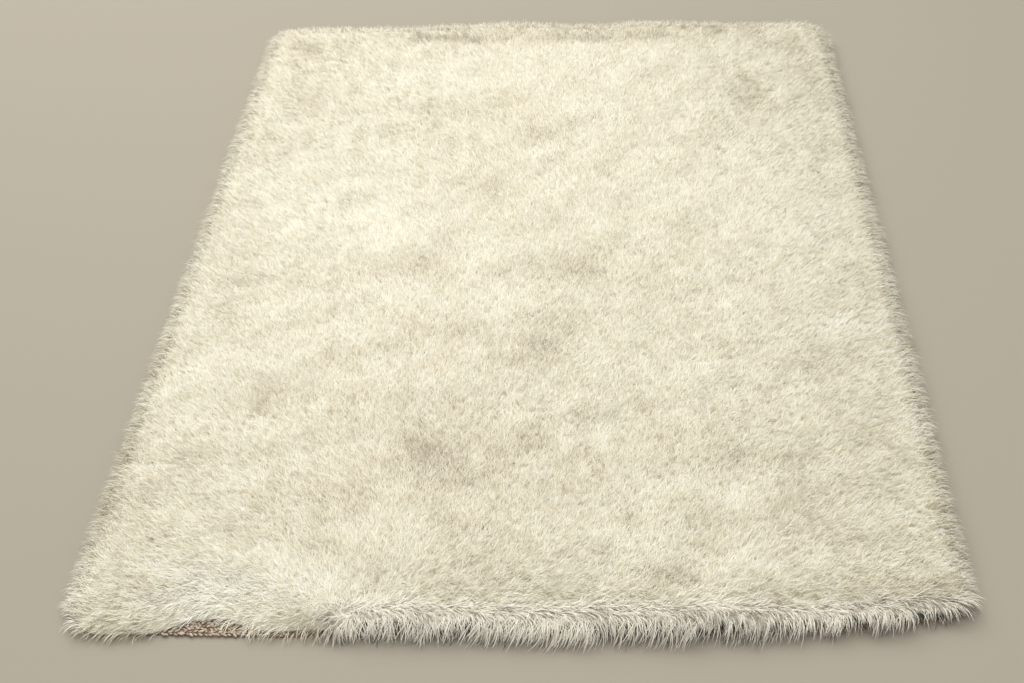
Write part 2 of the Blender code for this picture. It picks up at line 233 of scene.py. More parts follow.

# Darker or lighter places: blotches, painted shade and painted light. shade: above zero greyer, below zero
# brighter.
TONE_COLUMNS = ("x", "y", "half_x", "half_y", "shade")
TONES_AND_PAINTED_SHADING = (
    # Painted light where the far left is brightest.
    (-0.360, 0.300, 0.150, 0.240, -0.14),
    (-0.250, 0.610, 0.110, 0.070, -0.14),
    (-0.300, 0.080, 0.160, 0.110, -0.14),
    (-0.404, -0.405, 0.026, 0.020, 0.34),
    (-0.348, -0.377, 0.060, 0.020, 0.24),
    (-0.310, -0.272, 0.034, 0.030, 0.22),
    (-0.215, -0.046, 0.090, 0.026, 0.26),
    (0.086, -0.048, 0.044, 0.024, 0.34),
    (0.020, -0.045, 0.050, 0.016, 0.14),
    (0.048, -0.234, 0.038, 0.024, 0.22),
    (0.005, -0.290, 0.045, 0.024, 0.24),
    (-0.110, -0.220, 0.030, 0.024, 0.18),
    (-0.124, -0.493, 0.036, 0.026, 0.44),
    (-0.100, -0.550, 0.070, 0.034, 0.26),
    (0.024, -0.475, 0.030, 0.020, 0.40),
    (0.180, -0.513, 0.080, 0.026, 0.14),
    (0.330, -0.512, 0.085, 0.014, 0.30),
    (0.395, -0.523, 0.030, 0.016, 0.26),
    (-0.506, -0.765, 0.034, 0.013, 0.50),
    (0.226, -0.736, 0.034, 0.022, 0.34),
    (0.413, 0.516, 0.022, 0.040, 0.34),
    (-0.020, 0.407, 0.080, 0.050, 0.12),
    (-0.229, 0.392, 0.030, 0.030, 0.18),
    (-0.102, 0.177, 0.040, 0.050, 0.12),
    # Painted shade in the furrow behind the far rim's crest, and along the far rim.
    (-0.277, 0.800, 0.022, 0.014, 0.95),
    (-0.217, 0.800, 0.022, 0.014, 1.05),
    (-0.166, 0.798, 0.020, 0.015, 1.10),
    (-0.097, 0.802, 0.030, 0.012, 0.25),
    (0.035, 0.806, 0.022, 0.012, 0.45),
    (0.113, 0.802, 0.045, 0.012, 0.48),
    (0.249, 0.808, 0.024, 0.012, 0.55),
    (0.375, 0.812, 0.022, 0.018, 0.60),
    (0.440, 0.800, 0.022, 0.014, 0.30),
    (0.100, 0.815, 0.440, 0.045, 0.22),
    (-0.513, 0.740, 0.026, 0.018, 0.40),
    (0.499, -0.222, 0.070, 0.030, -0.22),
    # Painted light on the trodden corner.
    (-0.400, -0.770, 0.150, 0.050, -0.42),
    (0.162, -0.691, 0.050, 0.040, -0.12),
    (-0.068, -0.127, 0.090, 0.026, -0.12),
    (-0.071, -0.338, 0.080, 0.026, -0.12),
    (0.480, 0.160, 0.075, 0.260, -0.18),
    (-0.110, -0.420, 0.120, 0.280, 0.10),
    # Painted light along the near rim's crest.
    (0.070, -0.785, 0.320, 0.020, -0.12),
    (0.004, -0.706, 0.060, 0.024, 0.12),
    (-0.575, -0.600, 0.030, 0.200, 0.14),
    (0.100, -0.600, 0.500, 0.140, 0.05),
    # Painted shade on the lower fringe at the right.
    (0.400, -0.835, 0.250, 0.048, 0.30),
    # Painted light on the right rim and painted shade on the left rim, against how the light falls there.
    (0.590, -0.250, 0.035, 0.500, -0.06),
    (-0.580, 0.050, 0.030, 0.600, 0.06),
    # Painted shade along the near edge and at the near right-hand corner, with painted light in one place at
    # the left.
    (-0.510, -0.855, 0.070, 0.024, 0.60),
    (-0.435, -0.800, 0.035, 0.020, -0.22),
    (-0.275, -0.852, 0.055, 0.022, 0.55),
    (-0.245, -0.800, 0.040, 0.024, 0.36),
    (0.570, -0.800, 0.050, 0.060, 0.36),
)

# Strands in the field and at the rims. Below zero a shade is brighter. The highest tips are pressed down.
FIELD_LENGTH = 0.0155
FIELD_RISE = 70.0
FIELD_FALL = 14.0
RIM_RISE = 46.0
RIM_FALL = -52.0
# Painted shade greys the strands at the rims, and painted light brightens them along the near rim's crest.
RIM_PAINTED_SHADE = 0.08
HANGING_PAINTED_LIGHT = -0.42
CREST_REACH = 0.045
RIM_PAINTED_SHADE_REACH = 0.026
HEIGHT_FREE = 0.050
HEIGHT_PRESSED = 0.6
VISIBLE_PART = 0.020
RIM_ZONE = 0.036
HANGING_ZONE = 0.022

# Seeds of chance.
SEED = 5
SEED_STEP = 7
CHANCE_SEED = 11
LUCK_SEED = 23
KNOT_SEED = 90

# Each kind of piece: its triangles, and its strands' sizes. A tuft pulls its strands together.
FIELD_PIECES = 4
KIND_COLUMNS = (
    "kind", "Triangles", "Width", "Tuft size", "Root pull", "Tip pull", "Length spread", "Soft shading"
)
KINDS = (
    ("field", 190000, 0.00080, 0.0075, 0.03, 0.10, 0.40, 0.76),
    ("near_rim", 40000, 0.00090, 0.0075, 0.32, 0.48, 0.80, 0.45),
    ("side_rims", 140000, 0.00070, 0.0090, 0.08, 0.22, 0.40, 0.76),
)
FIELD_BLADE_STEPS = 2
RIM_BLADE_STEPS = 3
BLADE_BROADEST = 0.4
BLADE_TAPER = 0.6

# Tufts stand in rows, which pull their strands together but not on the wall.
ROW_PITCH = 0.009
ROW_PULL = 0.36
ROW_PULL_LOST = 3.0

# How much a strand's turn, rise, fall and shade differ by the strand, by its tuft, by drifts of a few
# centimetres and by the broader mottle. Angles are in radians.
UNEVEN = {
    "turn": {"strand": 1.8, "tuft": 1.4, "drift": 2.2, "mottle": 1.8},
    "rise": {"strand": 0.6, "tuft": 0.3, "drift": 0.5, "mottle": 0.7},
    "fall": {"strand": 0.7},
    "shade": {"tuft": 0.08, "drift": 0.45, "mottle": 0.78},
}
DRIFTS_PER_METRE = 34.0
MOTTLES_PER_METRE = 13.0
MOTTLE_ROUGHNESS = 0.6
BEND_LEAST = 0.12
STRAYS_FROM = 0.975
STRAY_LENGTH = 0.15
LENGTH_MIDDLE = 0.6
TUFT_LENGTH = 0.25
SWING_SHARE = 0.75
ROLL = 0.9
ROLL_SHADING = 0.5
WIDTH_LEAST = 0.7
WIDTH_SPREAD = 0.6

# Strands lie this far above the floor, or above the cloth where they are over it.
FLOOR_GAP = 0.0004
CLOTH_GAP = 0.0006
CLOTH_MARGIN = 0.001
GROUND_SPREAD = 0.0014

# Shade of a strand, from 0 for the lightest to 1, and how it spreads, more where strands are sparse: there
# the dark ones paint the shade in the gaps.
SHADE_MIDDLE = 0.38
SHADE_SPREAD = 0.80
SPARSE_SPREAD = 1.3
SHADE_LEAST = 0.02
SHADE_MOST = 0.98
BAKE_WIDTH = 0.006

# The ground cloth. Its near edge wanders, most along the bared strip at the left, which has rows of knots.
CLOTH_CORNER = 0.042
CLOTH_STEPS = 40
WARP_PITCH = 0.0042
WEFT_PITCH = 0.0031
STRIP_COLUMNS = ("x", "reach")
STRIP = (
    (-0.60, 0.002),
    (-0.49, 0.003),
    (-0.455, 0.005),
    (-0.42, 0.0065),
    (-0.30, 0.0075),
    (-0.22, 0.003),
    (-0.16, 0.000),
)
STRIP_SPREAD = 0.10
KNOTS_FROM = (-0.455, -0.8300)
KNOTS_TO = (-0.290, -0.8000)
KNOT_PITCH = (0.0056, 0.0046)
KNOT_SIZE = (0.0070, 0.0031, 0.0032)
KNOT_TURN = 0.50
KNOT_TURN_SPREAD = 0.8
KNOT_ROLL = 0.2
KNOT_SIZE_SPREAD = 0.10
KNOT_SPREAD = (0.34, 0.0013, 0.0003)
KNOT_LIFT = 0.0006
KNOT_SHADOW = 0.0024

# Camera, fitted to the photo's outline of the rug.
PICTURE_WIDTH = 1024
FOCAL_PIXELS = 1521.0
SENSOR = 36.0
CAMERA_PLACE = (0.1041, -2.1250, 1.4897)
CAMERA_YAW = -3.994
CAMERA_PITCH = 37.834
CAMERA_ROLL = -2.478

# Floor and lights. Each light's size is its width and height, and its power is in watts.
FLOOR_REACH = 25.0
FLOOR_DROP = 0.0002
FLOOR_COLOUR = (0.385, 0.349, 0.281, 1.0)
LIGHT_COLUMNS = ("name", "place", "target", "size", "power", "colour")
LIGHTS = (
    ("window", (-1.8, 3.3, 3.8), (0.0, 0.0, 0.0), (4.4, 3.0), 197.0, (1.0, 0.985, 0.95)),
    ("overhead", (0.2, -0.3, 4.2), (0.0, 0.0, 0.0), (5.0, 5.0), 133.0, (1.0, 0.99, 0.96)),
    ("front", (0.3, -4.2, 1.2), (0.0, -0.8, 0.0), (3.2, 1.6), 23.0, (1.0, 0.985, 0.95)),
)
ROOM_COLOUR = (0.96, 0.97, 1.0, 1.0)
ROOM_STRENGTH = 0.31


def smooth(t):
    """Eases from 0 to 1."""
    t = np.clip(t, 0.0, 1.0)
    return t * t * (3.0 - 2.0 * t)


def column(table, columns, name):
    """A table's column as numbers."""
    return np.array([row[columns.index(name)] for row in table], float)


def along_table(table, columns, name, x):
    """A table's column at each X, evenly between its rows."""
    return np.interp(x, column(table, columns, "x"), column(table, columns, name))


# ---------------------------------------------------------------- bed


def beyond_trodden(x):
    """From 0 where the near rim is trodden flat to 1 where it hangs."""
    return smooth((x - TRODDEN_END) / HANGING_BEGINS_OVER)


def locks(x):
    """From about -0.5 in a gap between the near rim's locks to 0.5 in the middle of one."""
    waves = [noise.noise(Vector((px * SCALLOPS_PER_METRE, SCALLOP_SEED, 0.0))) for px in np.ravel(x)]
    return np.reshape(waves, np.shape(x)) * beyond_trodden(x)


def setback(x):
    """How far the near rim stands back at this X, least where a lock hangs."""
    uneven = SCALLOP * (0.5 - locks(x)) * beyond_trodden(x)
    return along_table(NEAR_EDGE, NEAR_EDGE_COLUMNS, "back", x) + uneven


def bulge(x):
    """How far the far rim stands out at this X."""
    return along_table(FAR_EDGE, FAR_EDGE_COLUMNS, "out", x)


def from_near_edge(x, y):
    """How far each place lies behind the bed's near edge."""
    return y - (CLOTH_LOW.y + BED_INSET) - setback(x)


def trodden(x, y):
    """From 0 at the near edge to 1 where the pile has its full height again."""
    reach = along_table(TRODDEN, TRODDEN_COLUMNS, "reach", x)
    return np.clip(from_near_edge(x, y) / reach, 0.0, 1.0)


def trodden_share(x, y):
    """1 where the pile is trodden flattest, 0 where it stands."""
    return smooth(TRODDEN_SPREAD * (1.0 - trodden(x, y))) * (x < TRODDEN_END)


def rounded_grid(half_x, half_y, count_x, count_y, corner):
    """A grid of points that fills a rectangle with round corners."""
    x, y = np.meshgrid(
        np.linspace(-half_x, half_x, count_x + 1),
        np.linspace(-half_y, half_y, count_y + 1),
    )
    across = np.maximum((np.abs(x) - (half_x - corner)) / corner, 0.0)
    along = np.maximum((np.abs(y) - (half_y - corner)) / corner, 0.0)
    in_corner = (across > 0.0) & (along > 0.0)
    round_x = half_x - corner + corner * across * np.sqrt(1.0 - along**2 / 2.0)
    round_y = half_y - corner + corner * along * np.sqrt(1.0 - across**2 / 2.0)
    return (
        np.where(in_corner, np.copysign(round_x, x), x),
        np.where(in_corner, np.copysign(round_y, y), y),
    )


def grid_faces(rows, columns):
    """A grid's four-sided faces, facing up."""
    faces = []
    for j in range(rows - 1):
        for i in range(columns - 1):
            first = j * columns + i
            faces.append((first, first + 1, first + columns + 1, first + columns))
    return faces


def rim_ring(rows, columns):
    """The points round a grid's rim, anticlockwise from the near left corner."""
    near = [(0, i) for i in range(columns - 1)]
    right = [(j, columns - 1) for j in range(rows - 1)]
    far = [(rows - 1, i) for i in range(columns - 1, 0, -1)]
    left = [(j, 0) for j in range(rows - 1, 0, -1)]
    return [j * columns + i for j, i in near + right + far + left]


def inside_distance(x, y, half_x, half_y, corner):
    """How far each point lies inside the outline with round corners."""
    across = np.abs(x) - (half_x - corner)
    along = np.abs(y) - (half_y - corner)
    outside = np.hypot(np.maximum(across, 0.0), np.maximum(along, 0.0))
    return np.maximum(corner - outside - np.minimum(np.maximum(across, along), 0.0), 0.0)


def pile_heights(x, y):
    """Height of the solid pile's top at each place."""
    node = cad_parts["pile"]
    tree = BVHTree.FromPolygons(
        [v.co for v in node.data.vertices], [p.vertices for p in node.data.polygons]
    )
    down = Vector((0.0, 0.0, -1.0))
    heights = np.empty(len(x))
    for k, (px, py) in enumerate(zip(x, y)):
        hit = tree.ray_cast(Vector((px, py, 1.0)), down)[0]
        heights[k] = hit.z if hit else 0.0
    return heights


def softened(heights, share):
    """Evens out a grid of heights where the share is above zero."""
    soft = heights
    for _ in range(SOFTENING):
        wide = np.pad(soft, 1, mode="edge")
        around = wide[:-2, 1:-1] + wide[2:, 1:-1] + wide[1:-1, :-2] + wide[1:-1, 2:]
        soft = (4.0 * soft + around) / 8.0
    return heights + (soft - heights) * share


def lumps(x, y):
    """The bed's small lumps, about -1 to 1."""
    places = zip(x.ravel() * LUMPS_PER_METRE, y.ravel() * LUMPS_PER_METRE)
    habit = (LUMP_FALLOFF, LUMP_FINENESS, LUMP_OCTAVES)
    values = [noise.fractal(Vector((px, py, LUMP_SEED)), *habit) for px, py in places]
    return np.array(values).reshape(x.shape)


def bed_points():
    """The bed's top as a grid of points, and how far inside the rim each one is."""
    half_x = CLOTH_HALF_X - BED_INSET
    half_y = CLOTH_HALF_Y - BED_INSET
    count_x = int(round(2.0 * half_x / BED_PITCH))
    count_y = int(round(2.0 * half_y / BED_PITCH))
    x, y = rounded_grid(half_x, half_y, count_x, count_y, BED_CORNER)
    inside = inside_distance(x, y, half_x, half_y, BED_CORNER)
    x = x + CLOTH_MIDDLE.x
    near = smooth(1.0 - (y + half_y) / SETBACK_REACH)
    y = y + CLOTH_MIDDLE.y + setback(x) * near
    depth = BED_DEPTH_AT_RIM + (BED_DEPTH - BED_DEPTH_AT_RIM) * smooth(inside / BED_SINKS_OVER)
    far = smooth(1.0 - (CLOTH_HIGH.y - BED_INSET - y) / BULGE_REACH)
    z = pile_heights(x.ravel(), y.ravel()).reshape(x.shape) - depth + BULGE_LIFT * far
    y = y + bulge(x) * far
    inner = smooth(inside / RIM_KEPT)
    z = softened(z, inner) + LUMP_RISE * inner * lumps(x, y)
    z = z - HOLLOW * np.maximum(tone_and_painted_shading(x, y), 0.0)
    slope = TRODDEN_LEAST + TRODDEN_RISE * trodden(x, y) ** TRODDEN_CURVE
    z = np.where(x > TRODDEN_END, z, np.minimum(z, slope))
    return x, y, np.maximum(z, BED_LEAST), inside


def bed_shape():
    """The bed's points and faces, how far inside the rim each point is, the way it faces, and the bed's foot.

    On the wall the distance is below zero.
    """
    x, y, z, inside = bed_points()
    rows, columns = x.shape
    slope_y, slope_x = np.gradient(z, BED_PITCH)
    outward = np.stack([x - CLOTH_MIDDLE.x, y - CLOTH_MIDDLE.y], -1) / (CLOTH_HALF_X, CLOTH_HALF_Y)
    outward = np.sign(outward) * np.abs(outward) ** RIM_SQUARENESS
    tilt = outward * (SIDE_TILT, RIM_TILT) * smooth(1.0 - inside / RIM_TILT_REACH)[..., None]
    standing = 1.0 - trodden_share(x, y)
    tilt_x, tilt_y = standing * (tilt[..., 0] - slope_x), standing * (tilt[..., 1] - slope_y)
    facing = list(np.stack([tilt_x, tilt_y, np.ones_like(z)], -1).reshape(-1, 3))
    points = [tuple(p) for p in np.stack([x.ravel(), y.ravel(), z.ravel()], 1)]
    depth = list(inside.ravel())
    faces = grid_faces(rows, columns)
    ring = rim_ring(rows, columns)
    rim = [(points[k], facing[k]) for k in ring]
    for step in WALL_STEPS:
        first = len(points)
        for (px, py, pz), face in rim:
            points.append((px, py, pz + (BED_FOOT - pz) * step))
            depth.append(-step * (pz - BED_FOOT))
            facing.append(face + WALL_TILT * step * np.array([face[0], face[1], 0.0]))
        lower = [first + k for k in range(len(ring))]
        for k in range(len(ring)):
            after = (k + 1) % len(ring)
            faces.append((ring[k], lower[k], lower[after], ring[after]))
        ring = lower
    return np.array(points), faces, np.array(depth), np.array(facing), ring


def mesh_object(name, points, faces, looks=(), soft=True):
    """A new object with this mesh, in the scene."""
    mesh = bpy.data.meshes.new(name)
    mesh.from_pydata([tuple(p) for p in points], [], faces)
    for look in looks:
        mesh.materials.append(look)
    mesh.polygons.foreach_set("use_smooth", [soft] * len(mesh.polygons))
    mesh.update()
    made = bpy.data.objects.new(name, mesh)
    bpy.context.scene.collection.objects.link(made)
    return made


# ---------------------------------------------------------------- how the pile lies


def unit(vectors):
    """The vectors at length 1."""
    return vectors / np.maximum(np.linalg.norm(vectors, axis=1), 1e-9)[:, None]


def flat_vectors(pairs):
    """Level vectors from pairs of X and Y."""
    return np.column_stack([pairs, np.zeros(len(pairs))])


def comb_heading(x, y):
    """Unit vectors along which the tips point, evenly between the comb's places."""
    headings = np.radians(np.array([row[COMB_COLUMNS.index("headings")] for row in COMB], float))
    rows = column(COMB, COMB_COLUMNS, "y")
    along = np.interp(y, rows, np.arange(len(rows)))
    low = np.minimum(along.astype(int), len(rows) - 2)
    share = along - low
    parts = []
    for value in (np.cos(headings), np.sin(headings)):
        across = np.array([np.interp(x, COMB_X, row) for row in value])
        here = np.arange(len(x))
        parts.append(across[low, here] * (1.0 - share) + across[low + 1, here] * share)
    return unit(np.stack(parts, -1))


def wildness(x, y):
    """How freely strands turn from the common lay at each place."""
    side_from, side_over = WILD_SIDE
    near_from, near_over = WILD_NEAR
    still_side = smooth((np.abs(x) - side_from) / side_over)
    still = np.maximum(still_side, STILL_AT_NEAR * smooth((near_from - y) / near_over))
    from_whorl = np.hypot(x - WHORL[0], y - WHORL[1]) / WHORL_REACH
    return 1.0 - (1.0 - WILD_LEAST) * still + WHORL_WILD * np.exp(-(from_whorl**2))


def turned(heading):
    """Unit vectors that point at these headings, in degrees."""
    return np.stack([np.cos(np.radians(heading)), np.sin(np.radians(heading))], -1)


def lay_of_pile(points, depth, facing):
    """What the strands at each point of the bed have in common.

    That is where they point and swing, how long they are, how they rise and fall, their shade, how thickly
    they are set, the way the pile faces, and how wild and how blotched it is.
    """
    x, y = points[:, 0], points[:, 1]
    field = comb_heading(x, y)
    near = {name: along_table(NEAR_FALL, NEAR_FALL_COLUMNS, name, x) for name in NEAR_FALL_COLUMNS}
    from_near = np.maximum(from_near_edge(x, y), 0.0)
    away = {
        "left": np.maximum(x - (CLOTH_LOW.x + BED_INSET), 0.0),
        "right": np.maximum(CLOTH_HIGH.x - BED_INSET - x, 0.0),
        "far": np.maximum(CLOTH_HIGH.y - BED_INSET + bulge(x) - y, 0.0),
    }
    roots, tips = field * COMB_LEAST, field * COMB_LEAST
    free = smooth(from_near / NEAR_REACH)
    for row in SIDES:
        side = dict(zip(SIDE_COLUMNS, row))
        pull = np.exp(-((away[side["side"]] / side["hold"]) ** 2))[:, None]
        heading = turned(side["heading"]) * pull
        roots, tips = roots + heading, tips + heading
        free = free * smooth(away[side["side"]] / RIM_HOLD)
    pull = np.exp(-((from_near / NEAR_HOLD) ** 2))[:, None]
    roots = roots + turned(near["root_heading"]) * pull
    tips = tips + turned(near["tip_heading"]) * pull
    lay, swing = unit(roots + field * free[:, None]), unit(tips + field * free[:, None])

    # Where the pile is trodden, stands, hangs over the near rim, rounds the other rims or covers the wall.
    flattened = trodden_share(x, y)
    standing = 1.0 - flattened
    nearest = np.minimum(np.minimum(away["left"], away["right"]), away["far"])
    rim, near_share = smooth(1.0 - nearest / RIM_HOLD), smooth(1.0 - from_near / NEAR_REACH)
    below = np.clip(-depth / WALL_HEIGHT, 0.0, 1.0)
    low = np.maximum(smooth(1.0 - from_near / LOW_REACH), flattened)
    hanging = near_share * standing
    at_rim = smooth(1.0 - depth / RIM_PAINTED_SHADE_REACH) * standing
    crest = smooth(1.0 - from_near / CREST_REACH) * standing

    def blended(field_value, low_value, rim_value, near_value, wall_value):
        value = field_value + (low_value - field_value) * low
        value = value + (rim_value - value) * rim
        value = value + (near_value - value) * near_share
        return value + (wall_value - value) * below

    rise = blended(FIELD_RISE, LOW_RISE, RIM_RISE, near["rise"], WALL_RISE)
    fall = blended(FIELD_FALL, LOW_FALL, RIM_FALL, near["fall"], WALL_FALL)
    length = blended(FIELD_LENGTH, LOW_LENGTH, SIDE_LENGTH, near["length"], WALL_LENGTH * near["length"])
    wall_thickness = WALL_THICKNESS + (NEAR_WALL_THICKNESS - WALL_THICKNESS) * hanging
    thick = 1.0 + LOCK_THICKNESS * locks(x) * np.maximum(LOCK_AT_CREST * hanging, below * near_share)
    thick = thick * (1.0 - (1.0 - NEAR_THICKNESS) * hanging)
    thick = thick * (1.0 - (1.0 - wall_thickness) * below * standing)
    visible = points[:, :2] + VISIBLE_PART * lay
    middle = np.exp(-np.sum(((visible - BLOTCH_MIDDLE) / BLOTCH_HALF) ** 2, axis=1))
    # Painted shade greys the rims and the near rim's wall, most in the gaps between its locks; painted light
    # brightens the crest.
    painted_edge_shading = (RIM_PAINTED_SHADE + (HANGING_PAINTED_LIGHT - RIM_PAINTED_SHADE) * crest) * np.maximum(at_rim, crest)
    painted_edge_shading = painted_edge_shading + (near["wall_painted_shade"] - LOCK_PAINTED_SHADE * locks(x)) * below * hanging
    return {
        "lay": flat_vectors(lay),
        "swing": flat_vectors(swing - lay),
        "reach": length,
        "rise": np.radians(rise),
        "fall": np.radians(fall),
        "tone": tone_and_painted_shading(visible[:, 0], visible[:, 1]) + painted_edge_shading,
        "around": facing,
        "wild": np.maximum(wildness(x, y), np.maximum(WILD_WALL * below, WILD_RIM * hanging)),
        "blotch": BLOTCH_LEAST + (1.0 - BLOTCH_LEAST) * middle,
        "thick": thick,
    }


def tone_and_painted_shading(x, y):
    """How much greyer the pile is at each place, or brighter below zero, by its blotches and by painted shade
    and light.
    """
    tone = np.zeros_like(x)
    for row in TONES_AND_PAINTED_SHADING:
        part = dict(zip(TONE_COLUMNS, row))
        across = (x - part["x"]) / part["half_x"]
        along = (y - part["y"]) / part["half_y"]
        tone += part["shade"] * np.exp(-(across**2) - along**2)
    return tone


def give(mesh, name, values):
    """Stores numbers or vectors on the mesh's points."""
    kind, key = ("FLOAT_VECTOR", "vector") if values.ndim == 2 else ("FLOAT", "value")
    attribute = mesh.attributes.new(name, kind, "POINT")
    attribute.data.foreach_set(key, np.asarray(values, np.float32).ravel())


# ---------------------------------------------------------------- strands by geometry nodes


class Wiring:
    """Short words for making and joining nodes."""

    def __init__(self, tree):
        self.tree = tree

    def feed(self, socket, value):
        if isinstance(value, bpy.types.NodeSocket):
            self.tree.links.new(value, socket)
        else:
            socket.default_value = value

    def node(self, kind, inputs=None, **settings):
        made = self.tree.nodes.new(kind)
        for name, value in settings.items():
            setattr(made, name, value)
        for name, value in (inputs or {}).items():
            self.feed(made.inputs[name], value)
        return made

    def geometry(self, kind, inputs, **settings):
        return self.node("GeometryNode" + kind, inputs, **settings).outputs[0]

    def maths(self, operation, *values):
        made = self.node("ShaderNodeMath", operation=operation)
        for k, value in enumerate(values):
            self.feed(made.inputs[k], value)
        return made.outputs[0]

    def add(self, a, b):
        return self.maths("ADD", a, b)

    def times(self, a, b):
        return self.maths("MULTIPLY", a, b)

    def minus(self, a, b):
        return self.maths("SUBTRACT", a, b)

    def both(self, a, a_share, b, b_share):
        """The sum of two numbers, each by its own share."""
        return self.add(self.times(a, a_share), self.times(b, b_share))

    def vector(self, operation, *values):
        made = self.node("ShaderNodeVectorMath", operation=operation)
        for k, value in enumerate(values):
            self.feed(made.inputs[k], value)
        return made.outputs[0]

    def scaled(self, vector, by):
        made = self.node("ShaderNodeVectorMath", operation="SCALE")
        self.feed(made.inputs[0], vector)
        self.feed(made.inputs["Scale"], by)
        return made.outputs[0]

    def centred(self, vector):
        """Moves chances from 0 to 1 to lie about zero."""
        return self.vector("SUBTRACT", vector, (0.5, 0.5, 0.5))

    def parts(self, vector):
        made = self.node("ShaderNodeSeparateXYZ", {0: vector})
        return made.outputs[0], made.outputs[1], made.outputs[2]

    def join(self, x, y, z):
        return self.node("ShaderNodeCombineXYZ", {0: x, 1: y, 2: z}).outputs[0]

    def number(self, name):
        return self.geometry("InputNamedAttribute", {"Name": name}, data_type="FLOAT")

    def arrow(self, name):
        return self.geometry("InputNamedAttribute", {"Name": name}, data_type="FLOAT_VECTOR")

    def store(self, geometry, name, value, kind="FLOAT_VECTOR", domain="POINT"):
        inputs = {"Geometry": geometry, "Name": name, "Value": value}
        return self.geometry("StoreNamedAttribute", inputs, data_type=kind, domain=domain)

    def chance(self, seed, low=(0.0, 0.0, 0.0), high=(1.0, 1.0, 1.0)):
        made = self.node("FunctionNodeRandomValue", data_type="FLOAT_VECTOR")
        self.feed(made.inputs["Min"], low)
        self.feed(made.inputs["Max"], high)
        self.feed(made.inputs["Seed"], seed)
        return made.outputs["Value"]

    def noise(self, place, per_metre, detail, output="Fac", **more):
        inputs = {"Vector": place, "Scale": per_metre, "Detail": detail, **more}
        return self.node("ShaderNodeTexNoise", inputs).outputs[output]


def new_tree(name, sockets):
    """An empty tree with inputs of these kinds and names."""
    tree = bpy.data.node_groups.new(name, "GeometryNodeTree")
    face = tree.interface
    face.new_socket("Geometry", in_out="INPUT", socket_type="NodeSocketGeometry")
    for kind, names in sockets.items():
        for told in names:
            face.new_socket(told, in_out="INPUT", socket_type="NodeSocket" + kind)
    face.new_socket("Geometry", in_out="OUTPUT", socket_type="NodeSocketGeometry")
    w = Wiring(tree)
    return tree, w, w.node("NodeGroupInput").outputs


def end_tree(w, geometry, spent, material):
    """Drops the attributes that no look reads, and sets the look."""
    for name in spent:
        geometry = w.geometry("RemoveAttribute", {"Geometry": geometry, "Name": name})
    geometry = w.geometry("SetMaterial", {"Geometry": geometry, "Material": material})
    w.feed(w.node("NodeGroupOutput").inputs[0], geometry)


def scattered_roots(w, start):
    """The strands' roots, each with the chances of its strand, tuft and place."""
    seed = start["Seed"]
    scatter = w.node(
        "GeometryNodeDistributePointsOnFaces",
        {
            "Mesh": start["Geometry"],
            "Density": w.times(start["Density"], w.number("thick")),
            "Seed": seed,
        },
        distribute_method="RANDOM",
    )
    points = scatter.outputs["Points"]
    place = w.geometry("InputPosition", {})
    points = w.store(points, "wall", w.minus(1.0, w.parts(scatter.outputs["Normal"])[2]), "FLOAT")
    points = w.store(points, "chance", w.chance(w.add(seed, CHANCE_SEED)))
    points = w.store(points, "luck", w.chance(w.add(seed, LUCK_SEED)))

    # Tufts stand in rows across the rug, except on the rim's wall.
    x, y, z = w.parts(place)
    row = w.maths("SNAP", y, start["Row pitch"])
    share = w.maths("MAXIMUM", w.minus(ROW_PULL, w.times(w.number("wall"), ROW_PULL_LOST)), 0.0)
    y = w.add(y, w.times(w.minus(row, y), share))
    points = w.geometry("SetPosition", {"Geometry": points, "Position": w.join(x, y, z)})

    # The tuft that a strand belongs to draws in its root and, more, its tip, and leans in its own way.
    cells = w.node(
        "ShaderNodeTexVoronoi",
        {"Vector": place, "Scale": w.maths("DIVIDE", 1.0, start["Tuft size"])},
        voronoi_dimensions="3D",
    )
    points = w.store(points, "tuft", cells.outputs["Position"])
    points = w.store(points, "tuft_luck", w.centred(cells.outputs["Color"]))
    drawn = w.vector("SUBTRACT", w.arrow("tuft"), place)
    drawn = w.vector("MULTIPLY", w.scaled(drawn, start["Root pull"]), (1.0, 1.0, 0.0))
    points = w.geometry("SetPosition", {"Geometry": points, "Offset": drawn})
    points = w.store(points, "root", place)
    drift = w.noise(place, DRIFTS_PER_METRE, 2.0, "Color")
    points = w.store(points, "drift", w.centred(drift))
    mottle = w.noise(place, MOTTLES_PER_METRE, 3.0, "Color", Roughness=MOTTLE_ROUGHNESS)
    return w.store(points, "mottle", w.centred(mottle))


def upright_strands(w, blade, points):
    """A blade on each root, and on each of its points how far up and to which side it is."""
    shape = w.node("GeometryNodeObjectInfo", {"Object": blade}).outputs["Geometry"]
    strands = w.geometry("InstanceOnPoints", {"Points": points, "Instance": shape})
    strands = w.geometry("RealizeInstances", {0: strands})
    side, _, along = w.parts(w.vector("SUBTRACT", w.geometry("InputPosition", {}), w.arrow("root")))
    strands = w.store(strands, "side", side, "FLOAT")
    return w.store(strands, "along", along, "FLOAT")


